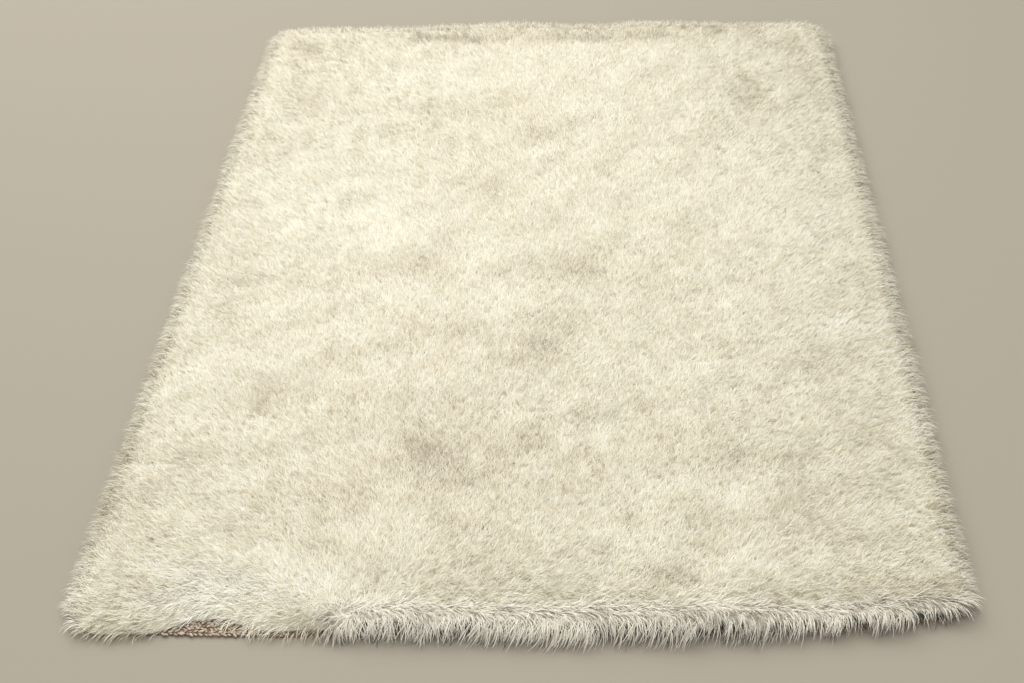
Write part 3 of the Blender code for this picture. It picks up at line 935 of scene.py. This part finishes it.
def bent_strands(w, start, strands):
    """Lays each strand along the pile, with a slope that runs evenly from its root to its tip."""
    root = w.arrow("root")
    up = w.join(0.0, 0.0, 1.0)
    around = w.vector("NORMALIZE", w.arrow("around"))
    chance_x, chance_y, chance_z = w.parts(w.arrow("chance"))
    luck_x, luck_y, luck_z = w.parts(w.arrow("luck"))
    tuft_x, tuft_y, tuft_z = w.parts(w.arrow("tuft_luck"))
    drift_x, drift_y, _ = w.parts(w.arrow("drift"))
    _, mottle_y, mottle_z = w.parts(w.arrow("mottle"))
    side, along = w.number("side"), w.number("along")

    # Direction of lay, turned a little for each strand and for each patch.
    uneven = UNEVEN["turn"]
    lay = w.vector("NORMALIZE", w.arrow("lay"))
    across = w.vector("CROSS_PRODUCT", up, lay)
    turn = w.both(drift_x, uneven["drift"], w.minus(chance_x, 0.5), uneven["strand"])
    turn = w.add(turn, w.both(mottle_z, uneven["mottle"], tuft_x, uneven["tuft"]))
    turn = w.times(turn, w.number("wild"))
    lay = w.vector("ADD", w.scaled(lay, w.maths("COSINE", turn)), w.scaled(across, w.maths("SINE", turn)))
    across = w.vector("CROSS_PRODUCT", up, lay)

    # How far out and up each point of the strand comes, for a strand of length 1.
    uneven = UNEVEN["rise"]
    rise = w.add(w.number("rise"), w.times(w.minus(chance_y, 0.5), uneven["strand"]))
    rise = w.add(rise, w.times(tuft_y, uneven["tuft"]))
    rise = w.add(rise, w.both(drift_y, uneven["drift"], mottle_y, uneven["mottle"]))
    fall = w.add(w.number("fall"), w.times(w.minus(luck_x, 0.5), UNEVEN["fall"]["strand"]))
    fall = w.maths("MINIMUM", fall, w.minus(rise, BEND_LEAST))
    bend = w.minus(fall, rise)
    slope = w.add(rise, w.times(bend, along))
    out = w.maths("DIVIDE", w.minus(w.maths("SINE", slope), w.maths("SINE", rise)), bend)
    raised = w.maths("DIVIDE", w.minus(w.maths("COSINE", rise), w.maths("COSINE", slope)), bend)

    # Its real length, and the pull of its tuft.
    stray = w.times(w.maths("GREATER_THAN", luck_z, STRAYS_FROM), STRAY_LENGTH)
    spread = w.times(w.minus(chance_z, LENGTH_MIDDLE), start["Length spread"])
    length = w.times(w.number("reach"), w.add(w.add(1.0, stray), spread))
    length = w.times(length, w.add(1.0, w.times(tuft_z, TUFT_LENGTH)))
    lay = w.vector("ADD", lay, w.scaled(w.arrow("swing"), w.times(along, SWING_SHARE)))
    middle = w.vector("ADD", w.scaled(lay, w.times(out, length)), w.scaled(up, w.times(raised, length)))
    middle = w.vector("ADD", root, middle)
    gather = w.vector("SUBTRACT", w.arrow("tuft"), root)
    gather = w.scaled(gather, w.times(w.times(along, along), start["Tip pull"]))
    middle = w.vector("ADD", middle, gather)

    # The blade's flat side faces out, rolled a little by chance.
    roll = w.times(w.minus(luck_y, 0.5), ROLL)
    flat = w.scaled(across, w.times(w.maths("COSINE", roll), -1.0))
    flat = w.vector("ADD", flat, w.scaled(up, w.maths("SINE", roll)))
    broad = w.times(start["Width"], w.add(WIDTH_LEAST, w.times(luck_z, WIDTH_SPREAD)))
    position = w.vector("ADD", middle, w.scaled(flat, w.times(side, broad)))

    # Nothing goes through the floor or the cloth, and the highest strands are pressed down a little.
    px, py, pz = w.parts(position)
    from_middle_x = w.maths("ABSOLUTE", w.minus(px, CLOTH_MIDDLE.x))
    from_middle_y = w.maths("ABSOLUTE", w.minus(py, CLOTH_MIDDLE.y))
    over_x = w.maths("LESS_THAN", from_middle_x, CLOTH_HALF_X + CLOTH_MARGIN)
    over_y = w.maths("LESS_THAN", from_middle_y, CLOTH_HALF_Y + CLOTH_MARGIN)
    ground = w.add(FLOOR_GAP, w.times(w.times(over_x, over_y), CLOTH_TOP + CLOTH_GAP))
    ground = w.add(ground, w.times(chance_z, GROUND_SPREAD))
    pressed = w.times(w.maths("MAXIMUM", w.minus(pz, HEIGHT_FREE), 0.0), HEIGHT_PRESSED)
    position = w.join(px, py, w.maths("MAXIMUM", w.minus(pz, pressed), ground))
    strands = w.geometry("SetPosition", {"Geometry": strands, "Position": position})

    # A strand is round and soft, so it takes its light mostly as the pile around it does.
    facing = w.scaled(up, w.maths("COSINE", slope))
    facing = w.vector("SUBTRACT", facing, w.scaled(lay, w.maths("SINE", slope)))
    soft = start["Soft shading"]
    facing = w.vector("ADD", w.scaled(facing, w.minus(1.0, soft)), w.scaled(around, soft))
    facing = w.vector("ADD", facing, w.scaled(across, w.times(roll, ROLL_SHADING)))
    inputs = {"Mesh": strands, "Custom Normal": w.vector("NORMALIZE", facing)}
    return w.geometry("SetMeshNormal", inputs, mode="FREE", domain="POINT")


def shaded_strands(w, strands):
    """Gives each strand its shade, and each point how far along it is. The bake's map holds the same two."""
    uneven = UNEVEN["shade"]
    side, along = w.number("side"), w.number("along")
    luck_z = w.parts(w.arrow("luck"))[2]
    tuft_z = w.parts(w.arrow("tuft_luck"))[2]
    # Where strands are sparse their shades spread wider, and the dark ones paint the shade in the gaps.
    sparse = w.minus(1.0, w.number("thick"))
    spread = w.add(SHADE_SPREAD, w.times(w.times(sparse, sparse), SPARSE_SPREAD))
    shade = w.add(w.number("tone"), SHADE_MIDDLE)
    shade = w.add(shade, w.times(w.minus(luck_z, 0.5), spread))
    shade = w.add(shade, w.times(tuft_z, uneven["tuft"]))
    drift_z, mottle_x = w.parts(w.arrow("drift"))[2], w.parts(w.arrow("mottle"))[0]
    blotch = w.both(drift_z, uneven["drift"], mottle_x, uneven["mottle"])
    shade = w.add(shade, w.times(blotch, w.number("blotch")))
    shade = w.maths("MAXIMUM", w.maths("MINIMUM", shade, SHADE_MOST), SHADE_LEAST)
    strands = w.store(strands, "yarn", w.join(shade, along, 0.0))
    baked = w.join(w.add(shade, w.times(side, BAKE_WIDTH)), along, 0.0)
    return w.store(strands, "OFBake", baked, "FLOAT2", "CORNER")


def strand_tree(habit):
    """Scatters strands over a patch of the bed, lays each along the pile and shades it."""
    sizes = ["Density", "Row pitch", *KIND_COLUMNS[2:]]
    sockets = {"Object": ["Blade"], "Float": sizes, "Int": ["Seed"], "Material": ["Material"]}
    tree, w, start = new_tree("strands", sockets)
    strands = upright_strands(w, start["Blade"], scattered_roots(w, start))
    strands = shaded_strands(w, bent_strands(w, start, strands))
    chances = ("chance", "luck", "tuft", "tuft_luck", "drift", "mottle")
    places = ("root", "wall", "side", "along", "id")
    end_tree(w, strands, (*chances, *places, *habit), start["Material"])
    return tree


def blade_object(name, steps):
    """A flat strand, upright and one unit long, pointed at both ends, that bends in steps - 1 places."""
    points, faces = [(0.0, 0.0, 0.0)], [(0, 2, 1)]
    for k in range(1, steps):
        share = k / steps
        half = 0.5 * (1.0 - BLADE_TAPER * (share - BLADE_BROADEST) ** 2)
        points += [(-half, 0.0, share), (half, 0.0, share)]
    points.append((0.0, 0.0, 1.0))
    for k in range(steps - 2):
        first = 2 * k + 1
        faces.append((first, first + 1, first + 3, first + 2))
    faces.append((2 * steps - 3, 2 * steps - 2, 2 * steps - 1))
    return mesh_object(name, points, faces)


def area_of(points, faces, thick):
    """Area of the faces, each counted as much as the pile is thick there."""
    total = 0.0
    for face in faces:
        a, b, c, d = (points[k] for k in face)
        total += np.linalg.norm(np.cross(c - a, d - b)) / 2.0 * np.mean(thick[list(face)])
    return total


def patch_object(name, points, faces, habit):
    """A part of the bed, with what its strands have in common on its points."""
    used = sorted({k for face in faces for k in face})
    place = {k: i for i, k in enumerate(used)}
    patch = mesh_object(name, points[used], [tuple(place[k] for k in face) for face in faces])
    for told, values in habit.items():
        give(patch.data, told, values[used])
    return patch


def grown(patch, tree, inputs):
    """What the tree makes of the patch, as one plain mesh in its place."""
    modifier = patch.modifiers.new(tree.name, "NODES")
    modifier.node_group = tree
    for item in tree.interface.items_tree:
        if item.in_out == "INPUT" and item.name in inputs:
            modifier[item.identifier] = inputs[item.name]
    bpy.context.view_layer.update()
    graph = bpy.context.evaluated_depsgraph_get()
    mesh = bpy.data.meshes.new_from_object(patch.evaluated_get(graph))
    old = patch.data
    patch.modifiers.clear()
    patch.data = mesh
    mesh.name = patch.name
    bpy.data.meshes.remove(old)
    mesh.polygons.foreach_set("use_smooth", [True] * len(mesh.polygons))
    mesh.update()
    return patch


# ---------------------------------------------------------------- looks

WHITE = (1.0, 1.0, 1.0)
SHEEN_ROUGHNESS = 0.4

# Shades of the yarn, from the lightest to the darkest, and the painted shade that darkens it towards its
# root.
YARN_SHADES = (
    (0.00, (0.97, 0.965, 0.885)),
    (0.30, (0.915, 0.885, 0.735)),
    (0.60, (0.80, 0.742, 0.565)),
    (0.85, (0.62, 0.55, 0.40)),
    (1.00, (0.42, 0.38, 0.30)),
)
YARN_ROOT_PAINTED_SHADE = (0.45, 0.41, 0.36)
# At the near rim the darker shades are greyer and go nearly to black: painted shade in the gaps of the
# hanging fringe.
NEAR_YARN_SHADES = (
    (0.00, (0.975, 0.950, 0.83)),
    (0.30, (0.93, 0.887, 0.755)),
    (0.55, (0.78, 0.722, 0.615)),
    (0.78, (0.42, 0.375, 0.325)),
    (1.00, (0.10, 0.09, 0.08)),
)
NEAR_YARN_ROOT_PAINTED_SHADE = (0.72, 0.68, 0.62)
YARN_LOW_PAINTED_SHADE = (0.83, 0.80, 0.75)
ROOT_SHADE_LEAST = 0.02
ROOT_SHADE_BY_SHADE = 1.15
FUZZ_PER_METRE = 420.0
WEAVE_PATCHES_PER_METRE = 160.0
WEAVE_SHADE = 0.22
KNOT_PATCHES_PER_METRE = 230.0


def surface(name, roughness, sheen, specular):
    """A new look with its nodes and its shader."""
    made = bpy.data.materials.new(name)
    made.use_nodes = True
    shader = made.node_tree.nodes["Principled BSDF"]
    shader.inputs["Roughness"].default_value = roughness
    shader.inputs["Sheen Weight"].default_value = sheen
    shader.inputs["Sheen Roughness"].default_value = SHEEN_ROUGHNESS
    shader.inputs["Specular IOR Level"].default_value = specular
    return made, Wiring(made.node_tree), shader


def ramp(w, value, stops):
    """A colour for each value, evenly between the stops."""
    made = w.node("ShaderNodeValToRGB", {0: value})
    band = made.color_ramp
    while len(band.elements) < len(stops):
        band.elements.new(0.5)
    for element, (place, colour) in zip(band.elements, stops):
        element.position = place
        element.color = (*colour, 1.0)
    return made.outputs["Color"]


def darkened(w, share, colour, by):
    """The colour multiplied by another, for a share of the way."""
    made = w.node("ShaderNodeMix", data_type="RGBA", blend_type="MULTIPLY")
    w.feed(made.inputs[0], share)
    w.feed(made.inputs[6], colour)
    w.feed(made.inputs[7], by)
    return made.outputs[2]


def uneven_surface(w, shader, height, strength, distance):
    """Gives the shader a bump."""
    bump = w.node("ShaderNodeBump", {"Height": height, "Strength": strength, "Distance": distance})
    w.feed(shader.inputs["Normal"], bump.outputs[0])


def yarn_look(name, shades, root):
    """Silky cream yarn: each strand has its own shade, and painted shade darkens it towards its root."""
    made, w, shader = surface(name, 0.46, 0.25, 0.45)
    told = w.node("ShaderNodeAttribute", attribute_name="yarn").outputs["Vector"]
    shade, along, _ = w.parts(told)
    colour = ramp(w, shade, shades)
    # Painted shade deep in the pile, the more so for darker strands.
    depth = ramp(w, along, ((0.0, root), (0.35, YARN_LOW_PAINTED_SHADE), (0.75, WHITE)))
    share = w.maths("MINIMUM", w.add(ROOT_SHADE_LEAST, w.times(shade, ROOT_SHADE_BY_SHADE)), 1.0)
    w.feed(shader.inputs["Base Color"], darkened(w, share, colour, depth))
    return made


def bed_look():
    """Felted roots between the strands, seen only in the gaps, darkened by painted shade at the rim and on
    the wall.
    """
    made, w, shader = surface("felted_roots", 0.9, 0.1, 0.2)
    place = w.node("ShaderNodeTexCoord").outputs["Object"]
    fuzz = w.noise(place, FUZZ_PER_METRE, 3.0)
    colour = ramp(w, fuzz, ((0.3, (0.78, 0.735, 0.59)), (0.7, (0.90, 0.865, 0.72))))
    # Painted shade: where the bed is less open, at the rim and on the wall, it is darker.
    opening = w.node("ShaderNodeAttribute", attribute_name="open").outputs["Fac"]
    low = ramp(w, opening, ((0.1, (0.07, 0.065, 0.065)), (0.9, WHITE)))
    w.feed(shader.inputs["Base Color"], darkened(w, 1.0, colour, low))
    uneven_surface(w, shader, fuzz, 0.8, 0.002)
    return made


def cloth_look():
    """Tan ground weave: a thick yarn each way, uneven in shade."""
    made, w, shader = surface("ground_weave", 0.88, 0.15, 0.25)
    place = w.node("ShaderNodeTexCoord").outputs["Object"]
    x, y, _ = w.parts(place)
    warp = w.maths("SINE", w.times(x, 2.0 * math.pi / WARP_PITCH))
    weft = w.maths("SINE", w.times(y, 2.0 * math.pi / WEFT_PITCH))
    weave = w.times(warp, weft)
    mixed = w.add(w.times(weave, WEAVE_SHADE), w.noise(place, WEAVE_PATCHES_PER_METRE, 4.0))
    stops = ((0.2, (0.10, 0.065, 0.045)), (0.5, (0.30, 0.21, 0.14)), (0.8, (0.50, 0.38, 0.27)))
    w.feed(shader.inputs["Base Color"], ramp(w, mixed, stops))
    uneven_surface(w, shader, weave, 0.7, 0.0012)
    return made


def knot_look():
    """Peach-tan knots, each a little different, with painted shade low down, where they press together."""
    made, w, shader = surface("knots", 0.8, 0.2, 0.25)
    place = w.node("ShaderNodeTexCoord").outputs["Object"]
    stops = ((0.3, (0.33, 0.25, 0.175)), (0.5, (0.58, 0.47, 0.355)), (0.7, (0.77, 0.68, 0.55)))
    colour = ramp(w, w.noise(place, KNOT_PATCHES_PER_METRE, 2.0), stops)
    # Painted shade: the knots darken low down, up to KNOT_SHADOW above the cloth.
    height = w.maths("DIVIDE", w.minus(w.parts(place)[2], CLOTH_TOP), KNOT_SHADOW)
    low = ramp(w, height, ((0.0, (0.22, 0.19, 0.18)), (0.75, WHITE)))
    w.feed(shader.inputs["Base Color"], darkened(w, 1.0, colour, low))
    return made


def floor_look():
    """A plain pale floor."""
    made, _, shader = surface("plain_floor", 0.7, 0.0, 0.12)
    shader.inputs["Base Color"].default_value = FLOOR_COLOUR
    return made


# ---------------------------------------------------------------- pieces


def cloth_piece():
    """The ground cloth as a closed flat sheet. At the right its near edge stands back with the pile."""
    x, y = rounded_grid(CLOTH_HALF_X, CLOTH_HALF_Y, CLOTH_STEPS, CLOTH_STEPS, CLOTH_CORNER)
    rows, columns = x.shape
    out = along_table(STRIP, STRIP_COLUMNS, "reach", x)
    near = smooth(1.0 - (y + CLOTH_HALF_Y) / STRIP_SPREAD)
    out = out - along_table(NEAR_EDGE, NEAR_EDGE_COLUMNS, "back", x) * (x > 0.0)
    x, y = x + CLOTH_MIDDLE.x, y + CLOTH_MIDDLE.y - out * near
    flat = np.stack([x.ravel(), y.ravel()], 1)
    count = len(flat)
    under = np.column_stack([flat, np.full(count, CLOTH_LOW.z)])
    over = np.column_stack([flat, np.full(count, CLOTH_TOP)])
    faces = []
    for a, b, c, d in grid_faces(rows, columns):
        faces.append((d, c, b, a))
        faces.append((count + a, count + b, count + c, count + d))
    ring = rim_ring(rows, columns)
    for k, here in enumerate(ring):
        after = ring[(k + 1) % len(ring)]
        faces.append((here, after, count + after, count + here))
    return mesh_object("ground_weave", np.concatenate([under, over]), faces, [cloth_look()], False)


def knot_tree():
    """Rows of knots on a strip of the cloth: each row is shifted by half a knot and turned the other way."""
    sizes = ["Across pitch", "Turn"]
    sockets = {"Float": sizes, "Vector": ["Knot size"], "Int": ["Seed"], "Material": ["Material"]}
    tree, w, start = new_tree("knots", sockets)
    odd = w.number("row_is_odd")
    luck_x, luck_y, luck_z = w.parts(w.chance(start["Seed"], (-1.0, -1.0, -1.0)))
    spread_x, spread_y, spread_z = KNOT_SPREAD
    across = w.times(start["Across pitch"], w.both(odd, 0.5, luck_x, spread_x))
    shift = w.join(across, w.times(luck_y, spread_y), w.times(luck_z, spread_z))
    points = w.geometry("MeshToPoints", {"Mesh": start["Geometry"]})
    points = w.geometry("SetPosition", {"Geometry": points, "Offset": shift})
    turn = w.add(w.minus(w.times(odd, 2.0), 1.0), w.times(luck_y, KNOT_TURN_SPREAD))
    knots = w.geometry(
        "InstanceOnPoints",
        {
            "Points": points,
            "Instance": w.geometry("MeshIcoSphere", {"Radius": 1.0, "Subdivisions": 2}),
            "Rotation": w.join(w.times(luck_x, KNOT_ROLL), 0.0, w.times(start["Turn"], turn)),
            "Scale": w.scaled(start["Knot size"], w.add(0.5, w.times(luck_z, KNOT_SIZE_SPREAD))),
        },
    )
    knots = w.geometry("RealizeInstances", {0: knots})
    end_tree(w, knots, ("row_is_odd", "id", "UVMap"), start["Material"])
    return tree


def knot_piece():
    """The knots that show where the pile leaves the cloth bare."""
    x = np.arange(KNOTS_FROM[0], KNOTS_TO[0], KNOT_PITCH[0])
    y = np.arange(KNOTS_FROM[1], KNOTS_TO[1], KNOT_PITCH[1])
    grid_x, grid_y = np.meshgrid(x, y)
    odd = (np.arange(len(y)) % 2)[:, None] * np.ones(len(x))
    height = np.full(grid_x.size, CLOTH_TOP + KNOT_LIFT)
    strip = mesh_object("knots", np.column_stack([grid_x.ravel(), grid_y.ravel(), height]), [])
    give(strip.data, "row_is_odd", odd.ravel())
    inputs = {
        "Across pitch": KNOT_PITCH[0],
        "Turn": KNOT_TURN,
        "Knot size": KNOT_SIZE,
        "Seed": SEED + KNOT_SEED,
        "Material": knot_look(),
    }
    return grown(strip, knot_tree(), inputs)


def bed_piece(points, faces, depth, foot):
    """The closed bed, with painted shade in the gaps at its rim and on its wall."""
    bed = mesh_object("pile_bed", points, faces + [tuple(reversed(foot))], [bed_look()])
    x, y = points[:, 0], points[:, 1]
    # How open the bed is: below 1 it takes painted shade at the rim and on the wall; the crest and the
    # trodden corner stay light.
    low = trodden_share(x, y)
    crest = smooth(1.0 - (y - CLOTH_LOW.y - setback(x)) / HANGING_ZONE)
    top_open = BED_RIM_OPEN + (1.0 - BED_RIM_OPEN) * smooth(depth / BED_OPENS_OVER)
    top_open = np.maximum(top_open, np.maximum(low, crest))
    wall_open = np.maximum(BED_WALL_OPEN * (1.0 - crest), TRODDEN_WALL_OPEN * low)
    give(bed.data, "open", np.where(depth < 0.0, wall_open, top_open))
    return bed


def strand_groups(points, faces, depth):
    """Each strand piece's name and kind, and the faces of the bed that it grows on."""
    measures = (points[:, 0], points[:, 1], depth)
    face_x, face_y, face_depth = (
        np.array([np.mean(values[list(face)]) for face in faces]) for values in measures
    )
    rim = face_depth < RIM_ZONE
    near = (face_y < CLOTH_LOW.y + HANGING_ZONE + setback(face_x)) & (face_x > TRODDEN_END)
    field = np.flatnonzero(~rim)
    field = field[np.argsort(face_y[field], kind="stable")]
    bands = np.array_split(field, FIELD_PIECES)
    return [
        *(("pile_field_%d" % k, "field", band) for k, band in enumerate(bands, 1)),
        ("pile_near_rim", "near_rim", np.flatnonzero(rim & near)),
        ("pile_side_rims", "side_rims", np.flatnonzero(rim & ~near)),
    ]


def strand_pieces(points, faces, depth, facing):
    """The strands, in a few pieces: the field in bands from near to far, the near rim, and the other rims."""
    habit = lay_of_pile(points, depth, facing)
    tree = strand_tree(habit)
    yarn = yarn_look("yarn", YARN_SHADES, YARN_ROOT_PAINTED_SHADE)
    near_yarn = yarn_look("near_yarn", NEAR_YARN_SHADES, NEAR_YARN_ROOT_PAINTED_SHADE)
    short = blade_object("field_blade", FIELD_BLADE_STEPS)
    long = blade_object("rim_blade", RIM_BLADE_STEPS)
    kinds = {row[0]: dict(zip(KIND_COLUMNS, row)) for row in KINDS}
    made = []
    for k, (name, kind, picked) in enumerate(strand_groups(points, faces, depth)):
        part = [faces[i] for i in picked]
        blade, steps = (short, FIELD_BLADE_STEPS) if kind == "field" else (long, RIM_BLADE_STEPS)
        blade_triangles = 2 * steps - 2
        inputs = {
            **kinds[kind],
            "Blade": blade,
            "Density": kinds[kind]["Triangles"] / blade_triangles / area_of(points, part, habit["thick"]),
            "Row pitch": ROW_PITCH,
            "Seed": SEED + SEED_STEP * k,
            "Material": near_yarn if kind == "near_rim" else yarn,
        }
        made.append(grown(patch_object(name, points, part, habit), tree, inputs))
    for blade in (short, long):
        bpy.data.objects.remove(blade, do_unlink=True)
    return made


# ---------------------------------------------------------------- stage


def add_floor():
    """A plain floor just under the rug."""
    near, far = -FLOOR_REACH, FLOOR_REACH
    corners = [(near, near, 0.0), (far, near, 0.0), (far, far, 0.0), (near, far, 0.0)]
    floor = mesh_object("floor", corners, [(0, 1, 2, 3)], [floor_look()], False)
    floor.location.z = -FLOOR_DROP


def add_light(name, place, target, size, power, colour):
    """A soft rectangular light, aimed at the target."""
    data = bpy.data.lights.new(name, "AREA")
    data.shape = "RECTANGLE"
    data.size, data.size_y = size
    data.energy = power
    data.color = colour
    made = bpy.data.objects.new(name, data)
    made.location = place
    aim = Vector(target) - Vector(place)
    made.rotation_euler = aim.to_track_quat("-Z", "Y").to_euler()
    bpy.context.scene.collection.objects.link(made)


def add_lights():
    """The lights, and the even light of the room."""
    for row in LIGHTS:
        add_light(**dict(zip(LIGHT_COLUMNS, row)))
    world = bpy.data.worlds.new("room")
    world.use_nodes = True
    background = world.node_tree.nodes["Background"]
    background.inputs["Color"].default_value = ROOM_COLOUR
    background.inputs["Strength"].default_value = ROOM_STRENGTH
    bpy.context.scene.world = world


def add_camera():
    """The camera, turned by its yaw, pitch and roll."""
    yaw, pitch, roll = (math.radians(a) for a in (CAMERA_YAW, CAMERA_PITCH, CAMERA_ROLL))
    ahead = Vector((math.sin(yaw) * math.cos(pitch), math.cos(yaw) * math.cos(pitch), -math.sin(pitch)))
    right = Vector((math.cos(yaw), -math.sin(yaw), 0.0))
    up = right.cross(ahead)
    level_right = math.cos(roll) * right + math.sin(roll) * up
    level_up = -math.sin(roll) * right + math.cos(roll) * up
    data = bpy.data.cameras.new("camera")
    data.sensor_width = SENSOR
    data.lens = FOCAL_PIXELS / PICTURE_WIDTH * SENSOR
    camera = bpy.data.objects.new("camera", data)
    turn = Matrix((level_right, level_up, -ahead)).transposed()
    camera.matrix_world = Matrix.Translation(CAMERA_PLACE) @ turn.to_4x4()
    bpy.context.scene.collection.objects.link(camera)
    bpy.context.scene.camera = camera


def main():
    points, faces, depth, facing, foot = bed_shape()
    cloth, knots = cloth_piece(), knot_piece()
    bed = bed_piece(points, faces, depth, foot)
    strands = strand_pieces(points, faces, depth, facing)
    pieces = [cloth, knots, bed, *strands]
    for piece in pieces:
        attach(piece, "root")
    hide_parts("ground_cloth")
    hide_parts("pile")
    add_floor()
    add_lights()
    add_camera()
    bpy.context.scene.view_settings.view_transform = "Standard"
    counts = {p.name: len(p.data.loops) - 2 * len(p.data.polygons) for p in pieces}
    print("triangles", sum(counts.values()), counts)


main()
